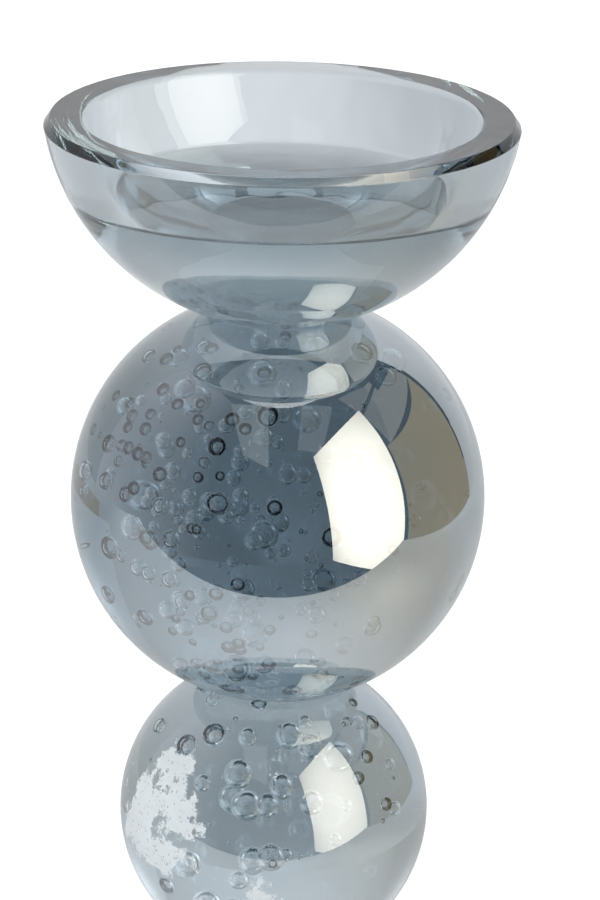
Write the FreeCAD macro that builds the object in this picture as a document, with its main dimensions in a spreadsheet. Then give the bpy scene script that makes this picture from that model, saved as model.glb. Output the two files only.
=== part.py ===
"""Glass candlestick: a deep cup on two solid glass balls and a domed glass foot.

Every glass piece is a solid of revolution with a small flat ground where it meets its
neighbour. The flats are bonded with clear adhesive, so the stack stands as one rigid
object on four clear bumper pads. Units are millimetres, +Z is up along the common axis
and the origin is the centre of the base, on the surface the pads rest on.
"""
import FreeCAD, Part
import os
import Sketcher

# Driving dimensions: alias, value in mm, meaning
DIMENSIONS = [
    ("ball_large_d", 100.0, "upper ball, across the sphere"),
    ("ball_small_d", 75.0, "lower ball, across the sphere"),
    ("flat_cup_r", 17.5, "ground flat between cup and upper ball"),
    ("flat_balls_r", 18.5, "ground flat between the two balls"),
    ("flat_foot_r", 18.5, "ground flat between lower ball and foot"),
    ("arris", 0.3, "small chamfer that seams each ground edge"),
    ("film_thickness", 0.15, "clear adhesive between two flats"),
    ("film_inset", 0.6, "adhesive stops short of the edge of the flat"),
    ("cup_outer_d", 115.6, "sphere the outside of the cup is cut from"),
    ("cup_inner_d", 96.6, "concentric sphere the wall of the well is cut from"),
    ("cup_rim_drop", 7.9, "rim plane below the centre of the cup's sphere"),
    ("cup_rim_r", 55.45, "outer edge of the flat polished rim"),
    ("cup_bevel_drop", 2.1, "height of the polished bevel below the rim"),
    ("cup_rim_chamfer", 0.6, "polished edge inside the mouth of the well"),
    ("well_depth", 17.2, "rim to the flat floor of the candle well"),
    ("well_fillet", 1.6, "radius between well wall and floor"),
    ("foot_outer_d", 115.6, "sphere the dome of the foot is cut from"),
    ("foot_height", 40.0, "flat underside to the ground top of the foot"),
    ("foot_bevel_inset", 1.4, "polished bevel round the underside, inwards"),
    ("foot_bevel_rise", 2.1, "the same bevel, upwards"),
    ("pad_r", 4.75, "bumper pad, radius where it is stuck to the foot"),
    ("pad_foot_r", 4.1, "bumper pad, radius at the floor"),
    ("pad_height", 2.0, "bumper pad, foot to floor"),
    ("pad_round", 0.4, "rounding of the pad's lower edge"),
    ("pad_circle_r", 44.0, "circle the four pads are set on"),
]
PAD_ANGLES = (45, 135, 225, 315)

# Heights of the chain of pieces, as expressions on the sheet
RISE = "sqrt(pow(Dims.{d} / 2; 2) - pow(Dims.{flat}; 2))"
SMALL_BELOW = RISE.format(d="ball_small_d", flat="flat_foot_r")
SMALL_ABOVE = RISE.format(d="ball_small_d", flat="flat_balls_r")
LARGE_BELOW = RISE.format(d="ball_large_d", flat="flat_balls_r")
LARGE_ABOVE = RISE.format(d="ball_large_d", flat="flat_cup_r")
CUP_BELOW = RISE.format(d="cup_outer_d", flat="flat_cup_r")
FOOT_ABOVE = RISE.format(d="foot_outer_d", flat="flat_foot_r")

Z_FOOT_TOP = "Dims.pad_height + Dims.foot_height"
Z_SMALL = f"{Z_FOOT_TOP} + Dims.film_thickness + {SMALL_BELOW}"
Z_SMALL_TOP = f"{Z_SMALL} + {SMALL_ABOVE}"
Z_LARGE = f"{Z_SMALL_TOP} + Dims.film_thickness + {LARGE_BELOW}"
Z_LARGE_TOP = f"{Z_LARGE} + {LARGE_ABOVE}"
Z_CUP = f"{Z_LARGE_TOP} + Dims.film_thickness + {CUP_BELOW}"


def make_sheet(doc):
    """The sheet of driving dimensions, one named cell each."""
    sheet = doc.addObject("Spreadsheet::Sheet", "Dims")
    for row, (alias, value, meaning) in enumerate(DIMENSIONS, start=1):
        sheet.set(f"A{row}", alias)
        sheet.set(f"B{row}", str(value))
        sheet.set(f"C{row}", meaning)
        sheet.setAlias(f"B{row}", alias)
    doc.recompute()
    return {alias: value for alias, value, _ in DIMENSIONS}


def make_body(doc, name, z_expression):
    """A body whose own origin sits on the axis at the given height."""
    body = doc.addObject("PartDesign::Body", name)
    body.Label = name
    body.setExpression("Placement.Base.z", z_expression)
    return body


def make_sketch(body, name, role="XZ_Plane"):
    """A sketch on one of the body's own origin planes."""
    sketch = body.newObject("Sketcher::SketchObject", name)
    plane = next(f for f in body.Origin.OriginFeatures if f.Role == role)
    sketch.AttachmentSupport = [(plane, "")]
    sketch.MapMode = "FlatFace"
    return sketch


def drive(sketch, kind, args, value, name, expression):
    """Add a dimension to a sketch and bind it to the sheet."""
    index = sketch.addConstraint(Sketcher.Constraint(kind, *args, value))
    sketch.renameConstraint(index, name)
    sketch.setExpression(f"Constraints.{name}", expression)


def add_line(sketch, start, end):
    """A straight edge between two (x, z) points."""
    return sketch.addGeometry(
        Part.LineSegment(FreeCAD.Vector(*start, 0), FreeCAD.Vector(*end, 0)), False)


def add_arc(sketch, radius, start, end):
    """An arc round the sketch origin, anticlockwise between two (x, z) points."""
    circle = Part.Circle(FreeCAD.Vector(0, 0, 0), FreeCAD.Vector(0, 0, 1), radius)
    first = circle.parameter(FreeCAD.Vector(*start, 0))
    last = circle.parameter(FreeCAD.Vector(*end, 0))
    index = sketch.addGeometry(Part.ArcOfCircle(circle, first, last), False)
    sketch.addConstraint(Sketcher.Constraint("Coincident", index, 3, -1, 1))
    return index


def join(sketch, *pairs):
    """Make pairs of (geometry, point) ends coincident."""
    for (first, first_end), (second, second_end) in pairs:
        sketch.addConstraint(
            Sketcher.Constraint("Coincident", first, first_end, second, second_end))


def constrain(sketch, kind, *indices):
    """The same geometric constraint on several edges."""
    for index in indices:
        sketch.addConstraint(Sketcher.Constraint(kind, index))


def on_axis(sketch, *ends):
    """Hold (geometry, point) ends on the axis of revolution."""
    for index, end in ends:
        sketch.addConstraint(Sketcher.Constraint("PointOnObject", index, end, -2))


def revolve(body, sketch, name):
    """Turn a closed profile through a full circle about the vertical axis."""
    turned = body.newObject("PartDesign::Revolution", name)
    turned.Profile = sketch
    turned.ReferenceAxis = (sketch, ["V_Axis"])
    turned.Angle = 360.0
    body.Document.recompute()
    return turned


def circle_edges(shape, radius, height=None):
    """Names of the full circular edges of a radius, at a height if one is given."""
    names = []
    for number, edge in enumerate(shape.Edges, start=1):
        curve = edge.Curve
        if not isinstance(curve, Part.Circle) or abs(curve.Radius - radius) > 1e-3:
            continue
        if height is None or abs(curve.Center.z - height) < 1e-3:
            names.append(f"Edge{number}")
    return names


def dress(body, base, kind, name, edges, prop, expression):
    """A chamfer or fillet on named edges, sized from the sheet."""
    if not edges:
        raise RuntimeError(f"{body.Name}: no edges found for {name}")
    feature = body.newObject(f"PartDesign::{kind}", name)
    feature.Base = (base, edges)
    feature.setExpression(prop, expression)
    body.Document.recompute()
    return feature


def make_ball(doc, dims, name, diameter, flat_below, flat_above, z_expression):
    """A solid ball with a ground flat below and another above."""
    radius = dims[diameter] / 2
    low_r, high_r = dims[flat_below], dims[flat_above]
    low_z = -(radius ** 2 - low_r ** 2) ** 0.5
    high_z = (radius ** 2 - high_r ** 2) ** 0.5
    body = make_body(doc, name, z_expression)
    sketch = make_sketch(body, f"{name}_profile")
    arc = add_arc(sketch, radius, (low_r, low_z), (high_r, high_z))
    top = add_line(sketch, (high_r, high_z), (0, high_z))
    axis = add_line(sketch, (0, high_z), (0, low_z))
    bottom = add_line(sketch, (0, low_z), (low_r, low_z))
    join(sketch, ((arc, 2), (top, 1)), ((top, 2), (axis, 1)),
         ((axis, 2), (bottom, 1)), ((bottom, 2), (arc, 1)))
    constrain(sketch, "Horizontal", top, bottom)
    on_axis(sketch, (axis, 1), (axis, 2))
    drive(sketch, "Radius", (arc,), radius, "ball_radius", f"Dims.{diameter} / 2")
    drive(sketch, "DistanceX", (-1, 1, arc, 1), low_r, "flat_below", f"Dims.{flat_below}")
    drive(sketch, "DistanceX", (-1, 1, arc, 2), high_r, "flat_above", f"Dims.{flat_above}")
    turned = revolve(body, sketch, f"{name}_turned")
    edges = circle_edges(turned.Shape, low_r, low_z) + circle_edges(turned.Shape, high_r, high_z)
    dress(body, turned, "Chamfer", f"{name}_arris", edges, "Size", "Dims.arris")
    return body


def make_cup(doc, dims):
    """The deep cup: spherical outside, concentric well, flat rim with an outer bevel."""
    outer, inner = dims["cup_outer_d"] / 2, dims["cup_inner_d"] / 2
    flat_r, rim_r = dims["flat_cup_r"], dims["cup_rim_r"]
    rim_z = -dims["cup_rim_drop"]
    bevel_z = rim_z - dims["cup_bevel_drop"]
    floor_z = rim_z - dims["well_depth"]
    flat_z = -(outer ** 2 - flat_r ** 2) ** 0.5
    bevel_r = (outer ** 2 - bevel_z ** 2) ** 0.5
    mouth_r = (inner ** 2 - rim_z ** 2) ** 0.5
    floor_r = (inner ** 2 - floor_z ** 2) ** 0.5
    body = make_body(doc, "cup", Z_CUP)
    sketch = make_sketch(body, "cup_profile")
    outside = add_arc(sketch, outer, (flat_r, flat_z), (bevel_r, bevel_z))
    bevel = add_line(sketch, (bevel_r, bevel_z), (rim_r, rim_z))
    rim = add_line(sketch, (rim_r, rim_z), (mouth_r, rim_z))
    wall = add_arc(sketch, inner, (floor_r, floor_z), (mouth_r, rim_z))
    floor = add_line(sketch, (floor_r, floor_z), (0, floor_z))
    axis = add_line(sketch, (0, floor_z), (0, flat_z))
    seat = add_line(sketch, (0, flat_z), (flat_r, flat_z))
    join(sketch, ((outside, 2), (bevel, 1)), ((bevel, 2), (rim, 1)), ((rim, 2), (wall, 2)),
         ((wall, 1), (floor, 1)), ((floor, 2), (axis, 1)), ((axis, 2), (seat, 1)),
         ((seat, 2), (outside, 1)))
    constrain(sketch, "Horizontal", rim, floor, seat)
    on_axis(sketch, (axis, 1), (axis, 2))
    drive(sketch, "Radius", (outside,), outer, "outer_radius", "Dims.cup_outer_d / 2")
    drive(sketch, "Radius", (wall,), inner, "inner_radius", "Dims.cup_inner_d / 2")
    drive(sketch, "DistanceX", (-1, 1, outside, 1), flat_r, "seat_radius", "Dims.flat_cup_r")
    drive(sketch, "DistanceX", (-1, 1, rim, 1), rim_r, "rim_radius", "Dims.cup_rim_r")
    drive(sketch, "DistanceY", (rim, 1, -1, 1), -rim_z, "rim_drop", "Dims.cup_rim_drop")
    drive(sketch, "DistanceY", (outside, 2, rim, 1), rim_z - bevel_z, "bevel_drop",
          "Dims.cup_bevel_drop")
    drive(sketch, "DistanceY", (floor, 1, rim, 1), rim_z - floor_z, "well_depth",
          "Dims.well_depth")
    turned = revolve(body, sketch, "cup_turned")
    corner = circle_edges(turned.Shape, floor_r, floor_z)
    rounded = dress(body, turned, "Fillet", "cup_well_fillet", corner, "Radius",
                    "Dims.well_fillet")
    mouth = circle_edges(rounded.Shape, mouth_r, rim_z)
    polished = dress(body, rounded, "Chamfer", "cup_mouth_edge", mouth, "Size",
                     "Dims.cup_rim_chamfer")
    seam = circle_edges(polished.Shape, flat_r, flat_z)
    dress(body, polished, "Chamfer", "cup_arris", seam, "Size", "Dims.arris")
    return body


def make_foot(doc, dims):
    """The solid domed foot, flat underneath with a polished bevel round the edge."""
    radius, flat_r = dims["foot_outer_d"] / 2, dims["flat_foot_r"]
    flat_z = (radius ** 2 - flat_r ** 2) ** 0.5
    base_z = flat_z - dims["foot_height"]
    bevel_z = base_z + dims["foot_bevel_rise"]
    bevel_r = (radius ** 2 - bevel_z ** 2) ** 0.5
    base_r = bevel_r - dims["foot_bevel_inset"]
    body = make_body(doc, "foot", f"{Z_FOOT_TOP} - {FOOT_ABOVE}")
    sketch = make_sketch(body, "foot_profile")
    dome = add_arc(sketch, radius, (bevel_r, bevel_z), (flat_r, flat_z))
    seat = add_line(sketch, (flat_r, flat_z), (0, flat_z))
    axis = add_line(sketch, (0, flat_z), (0, base_z))
    base = add_line(sketch, (0, base_z), (base_r, base_z))
    bevel = add_line(sketch, (base_r, base_z), (bevel_r, bevel_z))
    join(sketch, ((dome, 2), (seat, 1)), ((seat, 2), (axis, 1)), ((axis, 2), (base, 1)),
         ((base, 2), (bevel, 1)), ((bevel, 2), (dome, 1)))
    constrain(sketch, "Horizontal", seat, base)
    on_axis(sketch, (axis, 1), (axis, 2))
    drive(sketch, "Radius", (dome,), radius, "dome_radius", "Dims.foot_outer_d / 2")
    drive(sketch, "DistanceX", (-1, 1, dome, 2), flat_r, "seat_radius", "Dims.flat_foot_r")
    drive(sketch, "DistanceY", (base, 1, seat, 1), flat_z - base_z, "foot_height",
          "Dims.foot_height")
    drive(sketch, "DistanceX", (base, 2, bevel, 2), bevel_r - base_r, "bevel_inset",
          "Dims.foot_bevel_inset")
    drive(sketch, "DistanceY", (base, 2, bevel, 2), bevel_z - base_z, "bevel_rise",
          "Dims.foot_bevel_rise")
    turned = revolve(body, sketch, "foot_turned")
    seam = circle_edges(turned.Shape, flat_r, flat_z)
    dress(body, turned, "Chamfer", "foot_arris", seam, "Size", "Dims.arris")
    return body


def make_film(doc, dims, name, flat, z_expression):
    """A thin disc of clear adhesive lying on the flat below it."""
    body = make_body(doc, name, z_expression)
    sketch = make_sketch(body, f"{name}_outline", "XY_Plane")
    radius = dims[flat] - dims["film_inset"]
    circle = sketch.addGeometry(
        Part.Circle(FreeCAD.Vector(0, 0, 0), FreeCAD.Vector(0, 0, 1), radius), False)
    sketch.addConstraint(Sketcher.Constraint("Coincident", circle, 3, -1, 1))
    drive(sketch, "Radius", (circle,), radius, "film_radius", f"Dims.{flat} - Dims.film_inset")
    disc = body.newObject("PartDesign::Pad", f"{name}_disc")
    disc.Profile = sketch
    disc.setExpression("Length", "Dims.film_thickness")
    doc.recompute()
    return body


def make_pad(doc, dims, number, angle):
    """A clear bumper pad: a low tapered button stuck to the underside of the foot."""
    name = f"bumper_pad_{number}"
    top_r, low_r, height = dims["pad_r"], dims["pad_foot_r"], dims["pad_height"]
    body = make_body(doc, name, "0")
    body.setExpression("Placement.Base.x", f"Dims.pad_circle_r * cos({angle} deg)")
    body.setExpression("Placement.Base.y", f"Dims.pad_circle_r * sin({angle} deg)")
    sketch = make_sketch(body, f"{name}_profile")
    base = add_line(sketch, (0, 0), (low_r, 0))
    side = add_line(sketch, (low_r, 0), (top_r, height))
    top = add_line(sketch, (top_r, height), (0, height))
    axis = add_line(sketch, (0, height), (0, 0))
    join(sketch, ((base, 2), (side, 1)), ((side, 2), (top, 1)), ((top, 2), (axis, 1)),
         ((axis, 2), (base, 1)), ((base, 1), (-1, 1)))
    constrain(sketch, "Horizontal", base, top)
    constrain(sketch, "Vertical", axis)
    drive(sketch, "DistanceX", (-1, 1, side, 1), low_r, "floor_radius", "Dims.pad_foot_r")
    drive(sketch, "DistanceX", (-1, 1, side, 2), top_r, "stuck_radius", "Dims.pad_r")
    drive(sketch, "DistanceY", (side, 1, side, 2), height, "pad_height", "Dims.pad_height")
    turned = revolve(body, sketch, f"{name}_turned")
    edge = circle_edges(turned.Shape, low_r, 0.0)
    dress(body, turned, "Fillet", f"{name}_round", edge, "Radius", "Dims.pad_round")
    return body


def check(doc):
    """Stop if any feature failed or any shape is empty or invalid."""
    for item in doc.Objects:
        if "Invalid" in item.State or "Error" in item.State:
            raise RuntimeError(f"{item.Name}: {item.State}")
        shape = getattr(item, "Shape", None)
        if shape is not None and not shape.isNull() and not shape.isValid():
            raise RuntimeError(f"{item.Name}: shape is not valid")


def main():
    doc = FreeCAD.newDocument("glass_candlestick")
    dims = make_sheet(doc)
    pieces = [
        make_cup(doc, dims),
        make_film(doc, dims, "adhesive_upper", "flat_cup_r", Z_LARGE_TOP),
        make_ball(doc, dims, "ball_large", "ball_large_d", "flat_balls_r", "flat_cup_r", Z_LARGE),
        make_film(doc, dims, "adhesive_middle", "flat_balls_r", Z_SMALL_TOP),
        make_ball(doc, dims, "ball_small", "ball_small_d", "flat_foot_r", "flat_balls_r", Z_SMALL),
        make_film(doc, dims, "adhesive_lower", "flat_foot_r", Z_FOOT_TOP),
        make_foot(doc, dims),
    ]
    pieces += [make_pad(doc, dims, n, a) for n, a in enumerate(PAD_ANGLES, start=1)]
    doc.recompute()
    check(doc)
    os.makedirs("parts", exist_ok=True)
    for piece in pieces:
        if piece.Shape.isNull() or len(piece.Shape.Solids) != 1:
            raise RuntimeError(f"{piece.Label}: not one solid")
        piece.Shape.exportStep(f"parts/{piece.Label}.step")
        box = piece.Shape.BoundBox
        print(f"{piece.Label:18s} z {box.ZMin:8.3f} .. {box.ZMax:8.3f}  "
              f"volume {piece.Shape.Volume / 1000:8.2f} cm3")


main()
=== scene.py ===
"""Glass candlestick: two lustred bubble-glass balls and a deep clear cup on a domed foot."""
import math
import random

import bmesh
import bpy
from bpy.props import FloatProperty, IntProperty, PointerProperty, StringProperty
from mathutils import Matrix, Quaternion, Vector


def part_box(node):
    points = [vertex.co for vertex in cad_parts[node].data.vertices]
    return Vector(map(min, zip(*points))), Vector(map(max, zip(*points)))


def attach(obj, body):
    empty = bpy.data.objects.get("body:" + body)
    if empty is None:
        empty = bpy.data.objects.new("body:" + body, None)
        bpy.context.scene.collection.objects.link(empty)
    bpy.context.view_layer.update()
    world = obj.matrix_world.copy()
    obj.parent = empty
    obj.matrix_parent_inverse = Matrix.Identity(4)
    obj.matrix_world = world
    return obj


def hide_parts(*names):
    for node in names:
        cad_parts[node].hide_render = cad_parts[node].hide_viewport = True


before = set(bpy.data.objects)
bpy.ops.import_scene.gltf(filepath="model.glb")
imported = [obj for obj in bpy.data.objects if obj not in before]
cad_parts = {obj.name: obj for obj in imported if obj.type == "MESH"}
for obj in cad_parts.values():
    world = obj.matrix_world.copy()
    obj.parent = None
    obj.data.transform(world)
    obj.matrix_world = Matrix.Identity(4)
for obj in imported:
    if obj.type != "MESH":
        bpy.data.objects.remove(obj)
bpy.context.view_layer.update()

bl_info = {
    "name": "Glass Candlestick",
    "version": (1, 0, 0),
    "blender": (4, 5, 0),
    "location": "View3D > Sidebar > Candlestick",
    "description": "Builds the glass, adhesive and bumper pads of a candlestick of bubble-glass balls",
    "category": "Object",
}

MM = 0.001
BODY = "root"
TINY = 1e-9

# An arris takes this share of its width from the flat, and the rest from the sphere
ARRIS_ON_FLAT = 0.3
ARRIS_ON_SPHERE = 0.7

# Glass left between bubbles, and between a bubble and the surface
BUBBLE_GAP = 0.15 * MM
BUBBLE_DEPTH = 1.0 * MM
# Bubbles keep within this share of the ball's radius above and below its middle
BUBBLE_BAND = 0.88
# A bubble is up to this much longer or shorter one way
BUBBLE_SQUEEZE = 0.06
TRIES_PER_BUBBLE = 60
# Radii from which a bubble gets a finer sphere
FINE_BUBBLE = 2.5 * MM
MIDDLE_BUBBLE = 0.5 * MM

# Glow of the dim room past the cards, as linear RGBA
ROOM_LIGHT = (0.018, 0.022, 0.028, 1)

CUP_LOW, CUP_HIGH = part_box("cup")
LARGE_LOW, LARGE_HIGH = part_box("ball_large")
SMALL_LOW, SMALL_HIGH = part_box("ball_small")
FOOT_LOW, FOOT_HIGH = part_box("foot")


def half_width(box):
    """Half the larger horizontal side of a (low, high) box."""
    low, high = box
    return max(high[0] - low[0], high[1] - low[1]) / 2


def colour(text):
    """An sRGB hex colour as linear RGBA."""
    parts = [int(text[i:i + 2], 16) / 255 for i in (1, 3, 5)]
    linear = [c / 12.92 if c <= 0.04045 else ((c + 0.055) / 1.055) ** 2.4 for c in parts]
    return (*linear, 1.0)


# ---------------------------------------------------------------- settings

class GlassSizes(bpy.types.PropertyGroup):
    """Sizes of the ground and polished glass."""
    large_r: FloatProperty(name="Upper ball radius", description="Sphere of the upper ball",
                           default=half_width((LARGE_LOW, LARGE_HIGH)), unit="LENGTH")
    small_r: FloatProperty(name="Lower ball radius", description="Sphere of the lower ball",
                           default=half_width((SMALL_LOW, SMALL_HIGH)), unit="LENGTH")
    flat_inset: FloatProperty(name="Flat beyond adhesive", default=0.6 * MM, unit="LENGTH",
                              description="How far a ground flat reaches past the adhesive on it")
    bond_gap: FloatProperty(name="Bond gap", default=0.03 * MM, unit="LENGTH",
                            description="Clearance that keeps glass and adhesive faces apart")
    arris: FloatProperty(name="Arris", description="Chamfer that seams a ground edge",
                         default=0.3 * MM, unit="LENGTH")
    edge_round: FloatProperty(name="Polished edge", default=0.28 * MM, unit="LENGTH",
                              description="Radius left on a corner by polishing")
    cup_outer_r: FloatProperty(name="Cup outer radius", description="Sphere of the cup's outside",
                               default=57.8 * MM, unit="LENGTH")
    cup_inner_r: FloatProperty(name="Cup inner radius", description="Sphere of the well's wall",
                               default=48.3 * MM, unit="LENGTH")
    cup_rim_drop: FloatProperty(name="Rim drop", default=7.9 * MM, unit="LENGTH",
                                description="Rim plane below the centre of the cup's sphere")
    cup_rim_r: FloatProperty(name="Rim radius", description="Outer edge of the flat rim",
                             default=55.45 * MM, unit="LENGTH")
    cup_bevel_drop: FloatProperty(name="Bevel height", description="Polished bevel below the rim",
                                  default=2.1 * MM, unit="LENGTH")
    mouth_chamfer: FloatProperty(name="Mouth chamfer", description="Polished edge of the well",
                                 default=0.6 * MM, unit="LENGTH")
    well_depth: FloatProperty(name="Well depth", description="Rim to the floor of the well",
                              default=17.2 * MM, unit="LENGTH")
    well_fillet: FloatProperty(name="Well fillet", description="Radius between wall and floor",
                               default=1.6 * MM, unit="LENGTH")
    foot_r: FloatProperty(name="Foot radius", description="Sphere of the foot's dome",
                          default=57.8 * MM, unit="LENGTH")
    foot_bevel_inset: FloatProperty(name="Foot bevel inset", description="Bevel, inwards",
                                    default=1.4 * MM, unit="LENGTH")
    foot_bevel_rise: FloatProperty(name="Foot bevel rise", description="Bevel, upwards",
                                   default=2.1 * MM, unit="LENGTH")
    turns: IntProperty(name="Segments", description="Facets round a glass piece", default=256, min=32)
    arc_step: FloatProperty(name="Arc step", description="Facet angle along a profile",
                            default=math.radians(1.4), subtype="ANGLE")


class GlassLook(bpy.types.PropertyGroup):
    """Colours and finish of the glass."""
    ball_lustre: StringProperty(name="Ball lustre", description="Silver metal lustre",
                                default="#EDF3F5")
    cup_lustre: StringProperty(name="Cup lustre", description="The same on the cup and foot",
                               default="#EEF4F7")
    ball_mirror: FloatProperty(name="Ball mirror", default=0.32, min=0, max=1,
                               description="How much of the light the lustre on a ball reflects")
    ball_mirror_shift: FloatProperty(name="Uneven spray", default=0.17, min=0, max=0.4,
                                     description="Heavier lustre on the side nearer the spray")
    small_mirror: FloatProperty(name="Lower ball mirror", default=0.16, min=0, max=1,
                                description="The same on the lower ball")
    cup_mirror: FloatProperty(name="Cup mirror", default=0.64, min=0, max=1,
                              description="The same on the underside of the cup")
    rim_mirror: FloatProperty(name="Rim mirror", default=0.025, min=0, max=1,
                              description="The same at the top of the cup, where it thins out")
    body_tint: StringProperty(name="Body tint", description="Smoke blue of the glass in depth",
                              default="#B5C9D4")
    cup_tint: StringProperty(name="Cup tint", description="A greyer batch of the same glass",
                             default="#BDC9CE")
    body_density: FloatProperty(name="Tint density", description="Absorption per metre",
                                default=26.0)
    cup_density: FloatProperty(name="Cup tint density", default=24.0,
                               description="The same in the cup and the foot")
    pale_density: FloatProperty(name="Pale tint density", default=15.0,
                                description="The same in the lower ball, a paler batch of glass")
    cup_swell: FloatProperty(name="Cup swell", default=0.14 * MM, unit="LENGTH",
                             description="Height of the slow waves in the cast cup and foot")
    ball_swell: FloatProperty(name="Ball swell", default=0.01 * MM, unit="LENGTH",
                              description="The same on the upper ball, which is ground truer")
    small_swell: FloatProperty(name="Lower ball swell", default=0.05 * MM, unit="LENGTH",
                               description="The same on the lower ball")
    glass_ior: FloatProperty(name="Glass IOR", description="Crystal glass", default=1.52)


class StudioSettings(bpy.types.PropertyGroup):
    """Camera, paper and lights."""
    camera_distance: FloatProperty(name="Camera distance", default=1.70, unit="LENGTH",
                                   description="Horizontal distance from the axis to the lens")
    camera_height: FloatProperty(name="Camera height", default=0.685, unit="LENGTH",
                                 description="Lens above the table")
    camera_side: FloatProperty(name="Camera side step", default=5.24 * MM, unit="LENGTH",
                               description="Lens to the right of the axis")
    camera_pitch: FloatProperty(name="Camera pitch", description="Looking down",
                                default=math.radians(16.99), subtype="ANGLE")
    camera_roll: FloatProperty(name="Camera roll", description="Tilt of the frame",
                               default=math.radians(0.80), subtype="ANGLE")
    camera_lens: FloatProperty(name="Lens", description="Focal length in mm on a 36 mm high frame",
                               default=295.0)
    paper_light: FloatProperty(name="Paper", description="Brightness of the paper in the glass",
                               default=0.95)
    table_light: FloatProperty(name="Table", description="Brightness of the table in the glass",
                               default=0.66)
    far_light: FloatProperty(name="Far table", description="The same, well behind the object",
                             default=1.02)
    softbox_light: FloatProperty(name="Softbox", default=3.2,
                                 description="Brightness of the softbox")
    overhead_power: FloatProperty(name="Overhead", description="Lamp over the floor, in watts",
                                  default=340.0)


# ---------------------------------------------------------------- node helpers

def add(nodes, kind, links=None, inputs=None, **settings):
    """Add a node, set its properties and inputs, and link {input: output socket}."""
    node = nodes.new(kind)
    for key, value in settings.items():
        setattr(node, key, value)
    for key, value in (inputs or {}).items():
        node.inputs[key].default_value = value
    for key, socket in (links or {}).items():
        nodes.id_data.links.new(socket, node.inputs[key])
    return node


def new_material(name):
    """An empty node material and its nodes."""
    material = bpy.data.materials.new(name)
    material.use_nodes = True
    material.node_tree.nodes.clear()
    return material, material.node_tree.nodes


def finish_material(nodes, surface, volume=None):
    """Connect the shaders to the material's output."""
    links = {"Surface": surface.outputs[0]}
    if volume is not None:
        links["Volume"] = volume.outputs[0]
    add(nodes, "ShaderNodeOutputMaterial", links)


# ---------------------------------------------------------------- materials

def object_place(nodes):
    """Coordinates fixed to the object, in metres."""
    return add(nodes, "ShaderNodeTexCoord").outputs["Object"]


def multiply(nodes, first, second):
    """The product of two sockets."""
    return add(nodes, "ShaderNodeMath", {0: first, 1: second}, operation="MULTIPLY").outputs[0]


def larger(nodes, first, second):
    """The larger of two sockets."""
    return add(nodes, "ShaderNodeMath", {0: first, 1: second}, operation="MAXIMUM").outputs[0]


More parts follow.
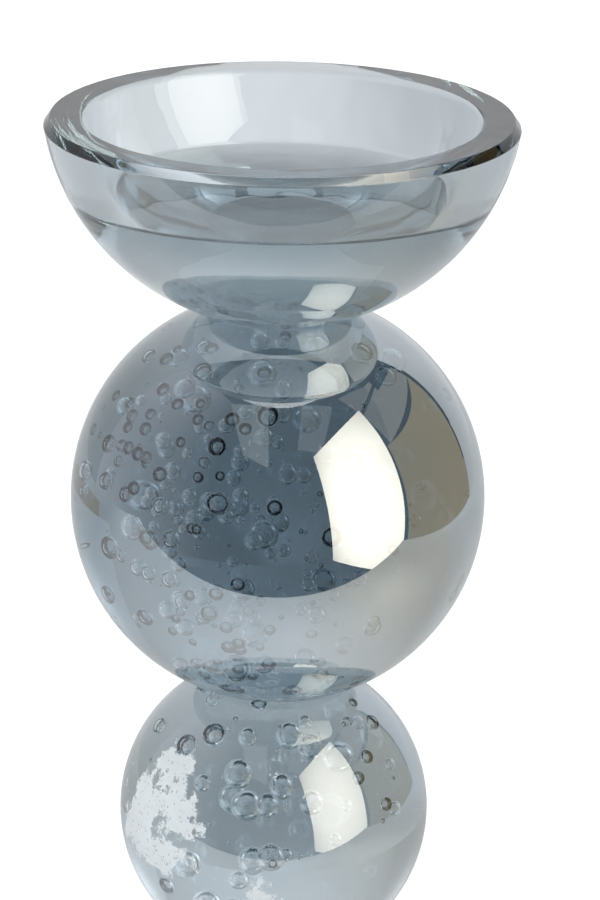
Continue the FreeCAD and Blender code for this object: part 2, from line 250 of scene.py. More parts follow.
def smoke_crystal(name, look, lustre, tint, density, axis, ends, mirrors, swell, wear=()):
    """Smoke-blue crystal, cast, ground and sprayed hot with a silver lustre.

    It gives the eye a half mirror over a deep tinted body: the room shows in the surface and
    the bubbles show through it. The spray changes along one axis, between two ends, from the
    first mirror value to the second. Cut edges are polished clear, and the flats for bonding
    are finely ground. swell is the height of the slow waves that casting leaves, which bend
    the reflections. wear lists (centre, radius) where the lustre is scuffed off and chalky."""
    material, nodes = new_material(name)
    place = object_place(nodes)
    along = add(nodes, "ShaderNodeSeparateXYZ", {"Vector": place}).outputs[axis]
    spray = add(nodes, "ShaderNodeMapRange", {"Value": along},
                {"From Min": ends[0], "From Max": ends[1], "To Min": mirrors[0],
                 "To Max": mirrors[1]}, interpolation_type="SMOOTHSTEP").outputs["Result"]
    # Clouds 18 mm across in the thickness of the lustre
    clouding = add(nodes, "ShaderNodeTexNoise", {"Vector": place},
                   {"Scale": 1 / (18 * MM), "Detail": 3.0, "Roughness": 0.5})
    uneven = add(nodes, "ShaderNodeMapRange", {"Value": clouding.outputs["Fac"]},
                 {"From Min": 0.3, "From Max": 0.7, "To Min": 0.9, "To Max": 1.1})
    sprayed = add(nodes, "ShaderNodeAttribute", attribute_name="lustred").outputs["Fac"]
    mirror = multiply(nodes, multiply(nodes, spray, uneven.outputs["Result"]), sprayed)
    # Grit marks on the ground flats, drawn 0.4 mm across so that they show, half filled by
    # the adhesive
    grit = add(nodes, "ShaderNodeTexNoise", {"Vector": place},
               {"Scale": 1 / (0.4 * MM), "Detail": 2.0}).outputs["Fac"]
    wetted = add(nodes, "ShaderNodeMapRange", {"Value": grit}, {"To Min": 0.0, "To Max": 0.3})
    ground = add(nodes, "ShaderNodeAttribute", attribute_name="ground").outputs["Fac"]
    frosted = multiply(nodes, ground, wetted.outputs["Result"])
    # Specks of dust and pin pits about 5 mm apart
    pits = add(nodes, "ShaderNodeTexVoronoi", {"Vector": place}, {"Scale": 1 / (5 * MM)})
    dust = add(nodes, "ShaderNodeMapRange", {"Value": pits.outputs["Distance"]},
               {"From Min": 0.018, "From Max": 0.034, "To Min": 0.35, "To Max": 0.0})
    rough = larger(nodes, frosted, dust.outputs["Result"])
    clear = {}
    if wear:
        scuffs = worn_lustre(nodes, place, wear)
        kept = add(nodes, "ShaderNodeMath", {1: scuffs}, {0: 1.0}, operation="SUBTRACT").outputs[0]
        mirror = multiply(nodes, mirror, kept)
        chalk = add(nodes, "ShaderNodeMapRange", {"Value": scuffs}, {"To Max": 0.45})
        rough = larger(nodes, rough, chalk.outputs["Result"])
        milky = add(nodes, "ShaderNodeMapRange", {"Value": scuffs}, {"To Min": 1.0, "To Max": 0.2})
        clear = {"Transmission Weight": milky.outputs["Result"]}
    # Casting waves 12 mm long
    waves = add(nodes, "ShaderNodeTexNoise", {"Vector": place},
                {"Scale": 1 / (12 * MM), "Detail": 1.0})
    rolling = add(nodes, "ShaderNodeBump", {"Height": waves.outputs["Fac"]},
                  {"Strength": 1.0, "Distance": swell})
    glass = add(nodes, "ShaderNodeBsdfPrincipled",
                {"Metallic": mirror, "Roughness": rough, "Normal": rolling.outputs["Normal"],
                 **clear},
                {"Base Color": colour(lustre), "IOR": look.glass_ior,
                 "Transmission Weight": 1.0})
    body = add(nodes, "ShaderNodeVolumeAbsorption", None,
               {"Color": colour(tint), "Density": density})
    finish_material(nodes, glass, body)
    return material


def worn_lustre(nodes, place, wear):
    """A 0 to 1 mask of ragged, speckled scuffs round some points."""
    ragged = add(nodes, "ShaderNodeTexNoise", {"Vector": place},
                 {"Scale": 1 / (9 * MM), "Detail": 8.0, "Roughness": 0.72}).outputs["Fac"]
    fringe = add(nodes, "ShaderNodeMapRange", {"Value": ragged},
                 {"From Min": 0.3, "From Max": 0.7, "To Min": -1.0, "To Max": 1.0})
    total = None
    for centre, radius in wear:
        distance = add(nodes, "ShaderNodeVectorMath", {0: place}, {1: centre},
                       operation="DISTANCE").outputs["Value"]
        near = add(nodes, "ShaderNodeMapRange", {"Value": distance},
                   {"From Min": 0.0, "From Max": 2 * radius, "To Min": 1.0, "To Max": -1.0})
        edge = add(nodes, "ShaderNodeMath", {0: near.outputs["Result"],
                                             1: fringe.outputs["Result"]}, operation="ADD")
        spot = add(nodes, "ShaderNodeMapRange", {"Value": edge.outputs[0]},
                   {"From Min": 0.0, "From Max": 0.22}).outputs["Result"]
        total = spot if total is None else larger(nodes, total, spot)
    specks = add(nodes, "ShaderNodeTexNoise", {"Vector": place},
                 {"Scale": 1 / (0.9 * MM), "Detail": 4.0}).outputs["Fac"]
    broken = add(nodes, "ShaderNodeMapRange", {"Value": specks},
                 {"From Min": 0.34, "From Max": 0.5, "To Min": 0.6, "To Max": 1.0})
    return multiply(nodes, total, broken.outputs["Result"])


def bubble_wall(name, look):
    """The fire-smooth wall of air trapped in molten glass, which gives each bubble its dark
    ring and bright heart."""
    material, nodes = new_material(name)
    film = add(nodes, "ShaderNodeTexNoise", {"Vector": object_place(nodes)},
               {"Scale": 1 / (1.5 * MM)})
    rough = add(nodes, "ShaderNodeMapRange", {"Value": film.outputs["Fac"]},
                {"To Min": 0.0, "To Max": 0.02})
    glass = add(nodes, "ShaderNodeBsdfPrincipled", {"Roughness": rough.outputs["Result"]},
                {"Base Color": colour("#F9FBFC"), "IOR": look.glass_ior,
                 "Transmission Weight": 1.0})
    finish_material(nodes, glass)
    return material


def cured_adhesive():
    """Clear adhesive cured by ultraviolet light: water-clear, with a faint haze in patches 3 mm
    across that softens what shows through the flats."""
    material, nodes = new_material("clear_uv_adhesive")
    haze = add(nodes, "ShaderNodeTexNoise", {"Vector": object_place(nodes)},
               {"Scale": 1 / (3 * MM)})
    rough = add(nodes, "ShaderNodeMapRange", {"Value": haze.outputs["Fac"]},
                {"To Min": 0.02, "To Max": 0.12})
    resin = add(nodes, "ShaderNodeBsdfPrincipled", {"Roughness": rough.outputs["Result"]},
                {"Base Color": colour("#F1F2EE"), "IOR": 1.5, "Transmission Weight": 1.0})
    finish_material(nodes, resin)
    return material


def clear_polyurethane():
    """Soft clear polyurethane, moulded: a slightly milky, dull button with a fine dry skin."""
    material, nodes = new_material("moulded_clear_polyurethane")
    skin = add(nodes, "ShaderNodeTexNoise", {"Vector": object_place(nodes)},
               {"Scale": 1 / (0.8 * MM)})
    rough = add(nodes, "ShaderNodeMapRange", {"Value": skin.outputs["Fac"]},
                {"To Min": 0.18, "To Max": 0.34})
    bump = add(nodes, "ShaderNodeBump", {"Height": skin.outputs["Fac"]},
               {"Strength": 0.2, "Distance": 0.05 * MM})
    rubber = add(nodes, "ShaderNodeBsdfPrincipled",
                 {"Roughness": rough.outputs["Result"], "Normal": bump.outputs["Normal"]},
                 {"Base Color": colour("#DDE0DC"), "IOR": 1.49, "Transmission Weight": 0.8})
    finish_material(nodes, rubber)
    return material


# ---------------------------------------------------------------- glass shapes

def polar(radius, centre_z, start, stop, step):
    """(r, z) points on a sphere's outline between two angles from the top pole."""
    count = max(2, math.ceil(abs(stop - start) / step))
    angles = [start + (stop - start) * i / count for i in range(count + 1)]
    return [(radius * math.sin(a), centre_z + radius * math.cos(a)) for a in angles]


def round_corner(before, corner, after, radius, steps=4, support=0.12 * MM):
    """Points that replace a corner by an arc, with a supporting point on each side."""
    p0, p1, p2 = Vector(before), Vector(corner), Vector(after)
    back, ahead = (p0 - p1), (p2 - p1)
    back_length, ahead_length = back.length, ahead.length
    back, ahead = back.normalized(), ahead.normalized()
    half = back.angle(ahead) / 2
    reach = radius / math.tan(half)
    centre = p1 + (back + ahead).normalized() * (radius / math.sin(half))
    first, last = p1 + back * reach - centre, p1 + ahead * reach - centre
    points = []
    if back_length > 2 * (reach + support):
        points.append(p1 + back * (reach + support))
    turn = first.angle_signed(last)
    for i in range(steps + 1):
        spun = first.copy()
        spun.rotate(Matrix.Rotation(-turn * i / steps, 2))
        points.append(centre + spun)
    if ahead_length > 2 * (reach + support):
        points.append(p1 + ahead * (reach + support))
    return [(p.x, p.y) for p in points]


LUSTRED, POLISHED, GROUND, HOLLOW = range(4)


class Profile:
    """An outline of (r, z) points from pole to pole, with a finish for each stretch."""

    def __init__(self):
        self.points, self.finish, self.corners = [], [], {}

    def add(self, points, finish, corner=0.0):
        """Add a stretch. corner is the radius where it meets the stretch before."""
        if corner and self.points:
            self.corners[len(self.points) - 1] = corner
        start = 1 if self.points and math.dist(self.points[-1], points[0]) < TINY else 0
        for point in points[start:]:
            if self.points:
                self.finish.append(finish)
            self.points.append(point)

    def softened(self):
        """The outline with its corners rounded."""
        points, finish = [self.points[0]], []
        for i in range(1, len(self.points)):
            kind = self.finish[i - 1]
            if i in self.corners:
                arc = round_corner(self.points[i - 1], self.points[i], self.points[i + 1],
                                   self.corners[i])
                points += arc
                finish += [kind] * len(arc)
            else:
                points.append(self.points[i])
                finish.append(kind)
        return points, finish


class Shell:
    """Vertices, faces and finishes gathered for one mesh."""

    def __init__(self):
        self.verts, self.faces, self.finish = [], [], []

    def lathe(self, points, finish, turns):
        """Turn a pole-to-pole outline into faces, with a finish for each stretch."""
        circle = [(math.cos(2 * math.pi * i / turns), math.sin(2 * math.pi * i / turns))
                  for i in range(turns)]
        rings = []
        for radius, height in points:
            first = len(self.verts)
            if radius < TINY:
                self.verts.append((0, 0, height))
                rings.append([first] * turns)
            else:
                self.verts += [(radius * x, radius * y, height) for x, y in circle]
                rings.append(list(range(first, first + turns)))
        for low, high, kind in zip(rings, rings[1:], finish):
            for i in range(turns):
                k = (i + 1) % turns
                corners = dict.fromkeys((low[i], low[k], high[k], high[i]))
                self.faces.append(tuple(corners))
                self.finish.append(kind)

    def hollow(self, centre, radius, stretch):
        """A nearly round bubble whose faces look into the hollow."""
        verts, faces = BALLS[4 if radius > FINE_BUBBLE else 3 if radius > MIDDLE_BUBBLE else 2]
        first = len(self.verts)
        self.verts += [tuple(c + radius * s * v for c, s, v in zip(centre, stretch, vert))
                       for vert in verts]
        self.faces += [tuple(first + i for i in reversed(face)) for face in faces]
        self.finish += [HOLLOW] * len(faces)

    def piece(self, name, node, slot, materials):
        """The shell as an object that stands for a CAD node."""
        mesh = bpy.data.meshes.new(name)
        mesh.from_pydata(self.verts, [], self.faces)
        mesh.polygons.foreach_set("material_index", [int(f == HOLLOW) for f in self.finish])
        mesh.polygons.foreach_set("use_smooth", [True] * len(self.faces))
        for title, finish in (("lustred", LUSTRED), ("ground", GROUND)):
            mask = mesh.attributes.new(title, "FLOAT", "FACE")
            mask.data.foreach_set("value", [float(f == finish) for f in self.finish])
        mesh.update()
        for material in materials:
            mesh.materials.append(material)
        made = bpy.data.objects.new(name, mesh)
        bpy.context.scene.collection.objects.link(made)
        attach(made, BODY)
        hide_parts(node)


def unit_balls():
    """Unit spheres of even triangles, coarse to fine, as (vertices, faces)."""
    found = {}
    for level in (2, 3, 4):
        builder = bmesh.new()
        bmesh.ops.create_icosphere(builder, subdivisions=level, radius=1.0)
        builder.verts.index_update()
        found[level] = ([tuple(v.co) for v in builder.verts],
                        [tuple(v.index for v in f.verts) for f in builder.faces])
        builder.free()
    return found


BALLS = unit_balls()


def film_radius(node):
    """Radius of an adhesive film."""
    return half_width(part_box(node))


# ---------------------------------------------------------------- bubbles

class BallPlan:
    """What one ball needs.

    below and above are the adhesive films that it sits between. A cloud is a count of bubbles,
    its middle and spread from the centre of the ball, and the smallest and largest radius.
    A worn spot is a place on a ball of radius 1, and how far it reaches in the same unit."""

    def __init__(self, node, radius, below, above, clouds, seed, density, mirrors, swell,
                 wear=()):
        self.node, self.radius, self.below, self.above = node, radius, below, above
        self.clouds, self.seed, self.density = clouds, seed, density
        self.mirrors, self.swell, self.wear = mirrors, swell, wear


def scatter(plan, centre_z):
    """Bubble centres and radii, drawn cloud by cloud without overlaps."""
    draw = random.Random(plan.seed)
    placed = []
    for count, middle, spread, small, large in plan.clouds:
        tries = 0
        made = 0
        while made < count and tries < TRIES_PER_BUBBLE * count:
            tries += 1
            point = Vector([m + draw.gauss(0, s) for m, s in zip(middle, spread)])
            size = small + (large - small) * draw.random()
            if point.length > plan.radius - size - BUBBLE_DEPTH:
                continue
            if abs(point.z) > plan.radius * BUBBLE_BAND - size:
                continue
            if any((point - p).length < size + r + BUBBLE_GAP for p, r in placed):
                continue
            placed.append((point, size))
            made += 1
    return [(p + Vector((0, 0, centre_z)), r) for p, r in placed]


# ---------------------------------------------------------------- operators

class CANDLESTICK_OT_cup(bpy.types.Operator):
    """Cast and cut the cup, with its rim, bevel and candle well"""
    bl_idname = "candlestick.cup"
    bl_label = "Cup"

    def execute(self, context):
        size, look = context.scene.glass_sizes, context.scene.glass_look
        seat_r = film_radius("adhesive_upper") + size.flat_inset
        seat_z = CUP_LOW[2] + size.bond_gap
        rim_z = CUP_HIGH[2]
        centre_z = rim_z + size.cup_rim_drop
        bevel_z = rim_z - size.cup_bevel_drop
        floor_z = rim_z - size.well_depth
        outer, inner, step = size.cup_outer_r, size.cup_inner_r, size.arc_step
        wall_r = math.sqrt(inner ** 2 - (centre_z - rim_z) ** 2)
        floor_r = math.sqrt(inner ** 2 - (centre_z - floor_z) ** 2)
        seat_angle = math.pi - math.asin((seat_r + size.arris * ARRIS_ON_SPHERE) / outer)
        bevel_angle = math.acos((bevel_z - centre_z) / outer)
        mouth_angle = math.acos((rim_z - size.mouth_chamfer - centre_z) / inner)
        floor_angle = math.acos((floor_z - centre_z) / inner)
        outline = Profile()
        outline.add([(0, seat_z), (seat_r - size.arris * ARRIS_ON_FLAT, seat_z)], GROUND)
        outline.add([(seat_r - size.arris * ARRIS_ON_FLAT, seat_z)]
                    + polar(outer, centre_z, seat_angle, bevel_angle, step), LUSTRED)
        bevel_r = outline.points[-1][0]
        outline.add([(bevel_r, bevel_z), (size.cup_rim_r, rim_z)], POLISHED, size.edge_round)
        outline.add([(size.cup_rim_r, rim_z), (wall_r + size.mouth_chamfer, rim_z)], POLISHED,
                    size.edge_round)
        outline.add([(wall_r + size.mouth_chamfer, rim_z)]
                    + polar(inner, centre_z, mouth_angle, floor_angle, step), POLISHED,
                    size.edge_round)
        outline.add([(floor_r, floor_z), (0, floor_z)], POLISHED, size.well_fillet)
        points, finish = outline.softened()
        shell = Shell()
        shell.lathe(points, finish, size.turns)
        shell.piece("cup_glass", "cup", "cup_glass", [
            smoke_crystal("smoke_crystal_cup", look, look.cup_lustre, look.cup_tint,
                          look.cup_density, "Z", (seat_z, floor_z),
                          (look.cup_mirror, look.rim_mirror), look.cup_swell)])
        return {"FINISHED"}


class CANDLESTICK_OT_balls(bpy.types.Operator):
    """Turn the two bubble-glass balls and fill them with trapped air"""
    bl_idname = "candlestick.balls"
    bl_label = "Balls"

    def execute(self, context):
        size, look = context.scene.glass_sizes, context.scene.glass_look
        shift = look.ball_mirror_shift
        large = BallPlan("ball_large", size.large_r, "adhesive_middle", "adhesive_upper", [
            (54, (-10 * MM, -13 * MM, 2 * MM), (15 * MM, 13 * MM, 19 * MM), 1.7 * MM, 2.7 * MM),
            (88, (-9 * MM, -15 * MM, -3 * MM), (20 * MM, 14 * MM, 21 * MM), 0.9 * MM, 1.8 * MM),
            (30, (-17 * MM, -16 * MM, 17 * MM), (12 * MM, 9 * MM, 10 * MM), 0.9 * MM, 1.8 * MM),
            (22, (-5 * MM, -27 * MM, -23 * MM), (15 * MM, 7 * MM, 8 * MM), 1.0 * MM, 2.1 * MM),
            (18, (-24 * MM, -26 * MM, 4 * MM), (7 * MM, 7 * MM, 16 * MM), 1.0 * MM, 2.3 * MM),
            (130, (-4 * MM, -12 * MM, -1 * MM), (22 * MM, 20 * MM, 22 * MM), 0.22 * MM,
             0.7 * MM),
        ], 41, look.body_density, (look.ball_mirror - shift, look.ball_mirror + shift),
            look.ball_swell)
        small = BallPlan("ball_small", size.small_r, "adhesive_lower", "adhesive_middle", [
            (24, (-2 * MM, -8 * MM, 3 * MM), (9 * MM, 11 * MM, 17 * MM), 1.8 * MM, 2.9 * MM),
            (24, (0, -6 * MM, 0), (18 * MM, 14 * MM, 17 * MM), 0.9 * MM, 1.8 * MM),
            (30, (0, -8 * MM, 0), (17 * MM, 16 * MM, 17 * MM), 0.25 * MM, 0.7 * MM),
        ], 17, look.pale_density, (look.small_mirror - 0.05, look.small_mirror + 0.07),
            look.small_swell, [
            ((-0.80, -0.56, 0.08), 0.30), ((-0.62, -0.62, 0.48), 0.16),
            ((-0.60, -0.78, 0.18), 0.16), ((-0.08, -0.96, -0.26), 0.13),
            ((0.02, -0.80, 0.58), 0.08)])
        for plan in (large, small):
            self.make_ball(size, look, plan)
        return {"FINISHED"}

    def make_ball(self, size, look, plan):
        """One ball, with its flats, arrises and hollows."""
        low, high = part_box(plan.node)
        below_r = film_radius(plan.below) + size.flat_inset
        above_r = film_radius(plan.above) + size.flat_inset
        centre_z = high[2] - math.sqrt(plan.radius ** 2 - above_r ** 2)
        low_z, high_z = low[2] + size.bond_gap, high[2] - size.bond_gap
        cut, left = size.arris * ARRIS_ON_SPHERE, size.arris * ARRIS_ON_FLAT
        arc = polar(plan.radius, centre_z, math.pi - math.asin((below_r + cut) / plan.radius),
                    math.asin((above_r + cut) / plan.radius), size.arc_step)
        outline = Profile()
        outline.add([(0, low_z), (below_r - left, low_z)], GROUND)
        outline.add([(below_r - left, low_z)] + arc + [(above_r - left, high_z)], LUSTRED)
        outline.add([(above_r - left, high_z), (0, high_z)], GROUND)
        points, finish = outline.softened()
        shell = Shell()
        shell.lathe(points, finish, size.turns)
        draw = random.Random(plan.seed + 1)
        for centre, radius in scatter(plan, centre_z):
            stretch = [1 + draw.uniform(-BUBBLE_SQUEEZE, BUBBLE_SQUEEZE) for _ in range(3)]
            shell.hollow(centre, radius, stretch)
        worn = [((plan.radius * x, plan.radius * y, plan.radius * z + centre_z),
                 plan.radius * reach) for (x, y, z), reach in plan.wear]
        shell.piece(f"{plan.node}_glass", plan.node, "bubble_glass", [
            smoke_crystal(f"smoke_crystal_{plan.node}", look, look.ball_lustre, look.body_tint,
                          plan.density, "X", (-plan.radius, plan.radius), plan.mirrors, plan.swell,
                          worn),
            bubble_wall(f"air_bubble_wall_{plan.node}", look)])


class CANDLESTICK_OT_foot(bpy.types.Operator):
    """Cast the domed foot with its flat underside and bevel"""
    bl_idname = "candlestick.foot"
    bl_label = "Foot"

    def execute(self, context):
        size, look = context.scene.glass_sizes, context.scene.glass_look
        seat_r = film_radius("adhesive_lower") + size.flat_inset
        centre_z = FOOT_HIGH[2] - math.sqrt(size.foot_r ** 2 - seat_r ** 2)
        base_z, seat_z = FOOT_LOW[2] + size.bond_gap, FOOT_HIGH[2] - size.bond_gap
        bevel_z = base_z + size.foot_bevel_rise
        bevel_angle = math.acos((bevel_z - centre_z) / size.foot_r)
        seat_angle = math.asin((seat_r + size.arris * ARRIS_ON_SPHERE) / size.foot_r)
        dome = polar(size.foot_r, centre_z, bevel_angle, seat_angle, size.arc_step)
        bevel_r = dome[0][0]
        outline = Profile()
        outline.add([(0, base_z), (bevel_r - size.foot_bevel_inset, base_z)], POLISHED)
        outline.add([(bevel_r - size.foot_bevel_inset, base_z), (bevel_r, bevel_z)], POLISHED,
                    size.edge_round)
        outline.add(dome, LUSTRED, size.edge_round)
        outline.add([dome[-1], (seat_r - size.arris * ARRIS_ON_FLAT, seat_z)], LUSTRED)
        outline.add([(seat_r - size.arris * ARRIS_ON_FLAT, seat_z), (0, seat_z)], GROUND)
        points, finish = outline.softened()
        shell = Shell()
        shell.lathe(points, finish, size.turns)
        shell.piece("foot_glass", "foot", "foot_glass", [
            smoke_crystal("smoke_crystal_foot", look, look.cup_lustre, look.cup_tint,
                          look.cup_density, "Z", (seat_z, base_z),
                          (look.cup_mirror, look.rim_mirror), look.cup_swell)])
        return {"FINISHED"}


class CANDLESTICK_OT_bonds(bpy.types.Operator):
    """Finish the adhesive films and the bumper pads"""
    bl_idname = "candlestick.bonds"
    bl_label = "Adhesive and pads"

    def execute(self, context):
        resin, rubber = cured_adhesive(), clear_polyurethane()
        for node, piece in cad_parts.items():
            if node.startswith("adhesive"):
                dress_node(piece, resin)
            elif node.startswith("bumper_pad"):
                dress_node(piece, rubber)
        return {"FINISHED"}


def dress_node(piece, material):
    """Give a CAD node its finish."""
    for slot in piece.material_slots:
        slot.material = material


# ---------------------------------------------------------------- studio

def studio_glow():
    """Lit paper, fabric and walls, with the brightness painted on each card's points."""
    material, nodes = new_material("studio_glow")
    painted = add(nodes, "ShaderNodeAttribute", attribute_name="tone")
    shader = add(nodes, "ShaderNodeEmission", {"Color": painted.outputs["Color"]})
    finish_material(nodes, shader)
    return material


def tone(text, strength):
    """A glow of a hex colour."""
    red, green, blue, _ = colour(text)
    return (red * strength, green * strength, blue * strength, 1.0)


def blend(low, high, share):
    """A value or a tuple of them, part of the way from low to high."""
    if isinstance(low, (int, float)):
        return low + (high - low) * share
    return tuple(a + (b - a) * share for a, b in zip(low, high))


def ramp(value, start, stop):
    """0 at start, 1 at stop, held outside them."""
    return min(1.0, max(0.0, (value - start) / (stop - start)))


def bump(x, y, middle, reach):
    """1 at a point, fading out over a distance."""
    return math.exp(-((x - middle[0]) ** 2 + (y - middle[1]) ** 2) / reach ** 2)


def card(name, place, light, parts=24):
    """A staged card. place gives its points and light their tones, for shares across and up."""
    shares = [i / parts for i in range(parts + 1)]
    grid = [(u, v) for v in shares for u in shares]
    row = parts + 1
    faces = [(k, k + 1, k + row + 1, k + row) for k in range(parts * row) if k % row < parts]
    mesh = bpy.data.meshes.new(name)
    mesh.from_pydata([place(u, v) for u, v in grid], [], faces)
    paint = mesh.color_attributes.new("tone", "FLOAT_COLOR", "POINT")
    paint.data.foreach_set("color", [c for u, v in grid for c in light(u, v)])
    mesh.materials.append(bpy.data.materials.get("studio_glow") or studio_glow())
    piece = bpy.data.objects.new(name, mesh)
    bpy.context.scene.collection.objects.link(piece)
    for flag in ("camera", "diffuse", "shadow", "volume_scatter"):
        setattr(piece, f"visible_{flag}", False)
    return piece


def bearing(azimuth, elevation, distance=2.2):
    """A point at a bearing from the middle of the upper ball; azimuth 0 is to the camera."""
    az, el = math.radians(azimuth), math.radians(elevation)
    middle = (LARGE_LOW[2] + LARGE_HIGH[2]) / 2
    return Vector((math.sin(az) * math.cos(el), -math.cos(az) * math.cos(el), math.sin(el))) \
        * distance + Vector((0, 0, middle))


def curved_card(name, azimuths, elevations, light, distance=2.2):
    """A curved card that fills a range of bearings, lit by light(azimuth, elevation)."""
    def aim(u, v):
        return blend(*azimuths, u), blend(*elevations, v)
    return card(name, lambda u, v: bearing(*aim(u, v), distance), lambda u, v: light(*aim(u, v)))


def flat_card(name, corners, light, parts=1):
    """A flat card between four points, lit by light(u, v) or by one tone."""
    a, b, c, d = (Vector(corner) for corner in corners)
    shade = light if callable(light) else lambda u, v: light
    return card(name, lambda u, v: a.lerp(b, u).lerp(d.lerp(c, u), v), shade, parts)


class CANDLESTICK_OT_studio(bpy.types.Operator):
    """Set the pale floor, the paper, the lights and the camera"""
    bl_idname = "candlestick.studio"
    bl_label = "Studio"

    def execute(self, context):
        scene, studio = context.scene, context.scene.studio
        self.make_camera(scene, studio)
        self.make_floor()
        self.make_table(studio)
        self.make_room(studio)
        self.make_lights(scene, studio)
        return {"FINISHED"}

    def make_camera(self, scene, studio):
        """A long lens, well above the rim and looking down."""
        data = bpy.data.cameras.new("camera")
        data.sensor_fit = "VERTICAL"
        data.sensor_height = 36.0
        data.lens = studio.camera_lens
        data.clip_end = 20.0
        camera = bpy.data.objects.new("camera", data)
        scene.collection.objects.link(camera)
        camera.location = (studio.camera_side, -studio.camera_distance, studio.camera_height)
        camera.rotation_mode = "QUATERNION"
        pitch = Quaternion((1, 0, 0), math.pi / 2 - studio.camera_pitch)
        roll = Quaternion((0, 0, 1), studio.camera_roll)
        camera.rotation_quaternion = pitch @ roll
        scene.camera = camera

    def make_floor(self):
        """A wide pale floor, and white paper all round that only the lens sees."""
        white = tone("#FFFFFF", 1.0)
        floor = flat_card("floor", ((-6, -6, 0), (6, -6, 0), (6, 6, 0), (-6, 6, 0)), white)
        floor.data.materials[0] = self.matt_board()
        floor.visible_diffuse = True
        backdrop = curved_card("backdrop", (0, 360), (-3, 90), lambda az, el: white, 8.0)
        for piece in (floor, backdrop):
            piece.visible_camera = True
            piece.visible_glossy = piece.visible_transmission = False

    def matt_board(self):
        """Matt white painted board, faintly mottled by the roller in patches 20 mm across."""
        material, nodes = new_material("matt_white_board")
        mottle = add(nodes, "ShaderNodeTexNoise", {"Vector": object_place(nodes)},
                     {"Scale": 1 / (20 * MM)})
        rough = add(nodes, "ShaderNodeMapRange", {"Value": mottle.outputs["Fac"]},
                    {"To Min": 0.7, "To Max": 0.9})
        shader = add(nodes, "ShaderNodeBsdfDiffuse", {"Roughness": rough.outputs["Result"]},
                     {"Color": colour("#F0F0F0")})
        finish_material(nodes, shader)
        return material

    def make_table(self, studio):
        """The white table, brighter near the softbox and where the far lamps reach it."""
        front, right, left, back = -0.215, 0.62, -1.2, 1.9

        def place(u, v):
            return (blend(left, right, u), blend(front, back, v ** 1.7), 0)

        def light(u, v):
            x, y, _ = place(u, v)
            # Painted light and shade on the table: the far table is darker at its left and right, and
            # the near table has pools of light towards the softbox, in front of the object and at the
            # front left
            far = studio.far_light * blend(0.8, 1.0, ramp(x, -0.3, -0.04)) \
                * blend(1.0, 0.66, ramp(x, 0.01, 0.1))
            near = studio.table_light * (1 + 0.6 * bump(x, y, (0.19, -0.09), 0.11)
                                         + 0.8 * bump(x, y, (-0.03, -0.08), 0.13)
                                         + 0.6 * ramp(x, -0.03, -0.2) * ramp(y, 0.2, 0.04))
            strength = blend(near, far, ramp(y, 0.12, 0.8))
            # Painted warm light of the softbox, a warmer tint on the near right of the table
            softbox_warmth = ramp(x, 0.0, 0.16) * ramp(y, 0.3, 0.0)
            return blend(tone("#F9FAFC", strength), tone("#FFF6E6", 0.9 * strength), softbox_warmth)
        card("table_top", place, light, 40)

    def make_room(self, studio):
        """What the glass mirrors: white paper behind and a dim room on the camera's side.

        Bearings are in degrees round the object: azimuth 0 is to the camera, and positive
        azimuths are to its right. The fills light the body of the glass from the sides and
        are kept out of the mirror."""
        paper = studio.paper_light

        def sweep(az, el):
            side = ramp(abs(az - 180), 12, 48)
            high = blend(1.0, 1.25, ramp(el, 12, 40))
            return tone("#F3F4F6", high * blend(paper, 0.64 * paper, side))

        def left_wall(az, el):
            high = blend(0.95, 0.85, ramp(el, -10, 26))
            return tone("#EEECF2", blend(0.02, high, ramp(-az, 40, 116)))

        def fill(az, el):
            middle = bump(az, el, (math.copysign(114, az), 26), 13)
            return tone("#F8F8FA", (0.9 if az > 0 else 0.6) * (1 + 2.4 * middle))

        curved_card("paper_sweep", (132, 240), (-20, 62), sweep, 2.0)
        curved_card("left_wall", (-120, -36), (-25, 62), left_wall)
        curved_card("right_wall", (76, 132), (-20, 29), lambda az, el: tone("#D8C294", 0.5))
        for name, side in (("fill_left", -1), ("fill_right", 1)):
            piece = curved_card(name, (side * 90, side * 138), (-6, 58), fill, 1.9)
            piece.visible_glossy = False
        dark, grey = tone("#202830", 0.1), tone("#E6E0D6", 0.36)
        plain = {
            "cupboard": (((79, 29), (131, 29), (131, 38), (100, 52)), grey, 2.2),
            "cupboard_side": (((79, 29), (100, 52), (70, 60), (74, 47)), tone("#DAD8D2", 0.28),
                              2.2),
            "wall_edge": (((130.5, -2), (132.5, -2), (134, 40), (130.5, 40)), dark, 2.1),
            "light_stand": (((136, 33), (127, 44), (108, 51), (104, 45.5)), dark, 2.1),
            "light_arm": (((106, 47), (106, 48.5), (76, 48.5), (76, 46.5)), dark, 2.1),
            "pale_door": (((-54, 61), (-12, 66), (-5.7, 31.8), (-23.7, 37.5)),
                          tone("#F0F4F2", 0.34), 2.2),
            "pale_screen": (((29, 66), (58, 59), (30, 38), (13.7, 41.8)),
                            tone("#E4E8EA", 0.22), 2.2),
        }
        for name, (bearings, light, distance) in plain.items():
            flat_card(name, [bearing(az, el, distance) for az, el in bearings], light)
        curved_card("ceiling", (0, 360), (66, 90), lambda az, el: tone("#FFFFFF", 1.0), 2.3)

    def make_lights(self, scene, studio):
        """One large warm softbox to the right, dimmer towards its corners, and an even light
        for the floor."""
        reach = 1.5
        top_left = bearing(23.7, 36.9, reach)
        top_right = bearing(74.5, 49.5, reach * 0.76)
        low_left = bearing(30.9, -18.9, reach)
        low_right = top_right + low_left - top_left

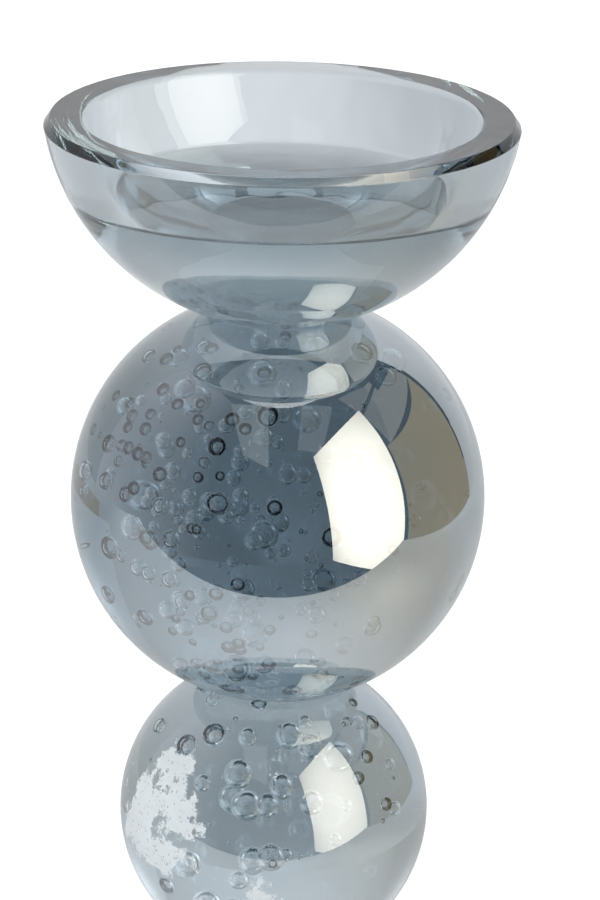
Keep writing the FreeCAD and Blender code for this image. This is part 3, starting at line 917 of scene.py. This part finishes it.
        def fabric(u, v):
            dim = 1 - 1.1 * ((u - 0.5) ** 2 + (v - 0.5) ** 2)
            return tone("#FFF6E6", studio.softbox_light * dim)
        flat_card("softbox", (top_left, top_right, low_right, low_left), fabric, 8)
        data = bpy.data.lights.new("overhead", "AREA")
        data.shape, data.size, data.energy = "DISK", 8.0, studio.overhead_power
        lamp = bpy.data.objects.new("overhead", data)
        lamp.location = (0, 0, 2.6)
        lamp.visible_glossy = False
        lamp.visible_transmission = False
        lamp.visible_camera = False
        scene.collection.objects.link(lamp)
        world = bpy.data.worlds.new("dim_room")
        world.use_nodes = True
        world.node_tree.nodes["Background"].inputs["Color"].default_value = ROOM_LIGHT
        scene.world = world
        scene.view_settings.view_transform = "Standard"
        scene.cycles.max_bounces = 32
        scene.cycles.transmission_bounces = 32
        scene.cycles.glossy_bounces = 16
        scene.cycles.transparent_max_bounces = 16


# ---------------------------------------------------------------- panel

class CANDLESTICK_PT_panel(bpy.types.Panel):
    """Steps that build the candlestick"""
    bl_idname = "CANDLESTICK_PT_panel"
    bl_label = "Glass candlestick"
    bl_space_type = "VIEW_3D"
    bl_region_type = "UI"
    bl_category = "Candlestick"

    def draw(self, context):
        for operator in STEPS:
            self.layout.operator(operator.bl_idname)


STEPS = (CANDLESTICK_OT_studio, CANDLESTICK_OT_cup, CANDLESTICK_OT_balls, CANDLESTICK_OT_foot,
         CANDLESTICK_OT_bonds)
CLASSES = (GlassSizes, GlassLook, StudioSettings, *STEPS, CANDLESTICK_PT_panel)


def register():
    for cls in CLASSES:
        bpy.utils.register_class(cls)
    bpy.types.Scene.glass_sizes = PointerProperty(type=GlassSizes)
    bpy.types.Scene.glass_look = PointerProperty(type=GlassLook)
    bpy.types.Scene.studio = PointerProperty(type=StudioSettings)


def unregister():
    del bpy.types.Scene.studio
    del bpy.types.Scene.glass_look
    del bpy.types.Scene.glass_sizes
    for cls in reversed(CLASSES):
        bpy.utils.unregister_class(cls)


def main():
    register()
    bpy.ops.candlestick.studio()
    bpy.ops.candlestick.cup()
    bpy.ops.candlestick.balls()
    bpy.ops.candlestick.foot()
    bpy.ops.candlestick.bonds()


if __name__ == "__main__":
    main()
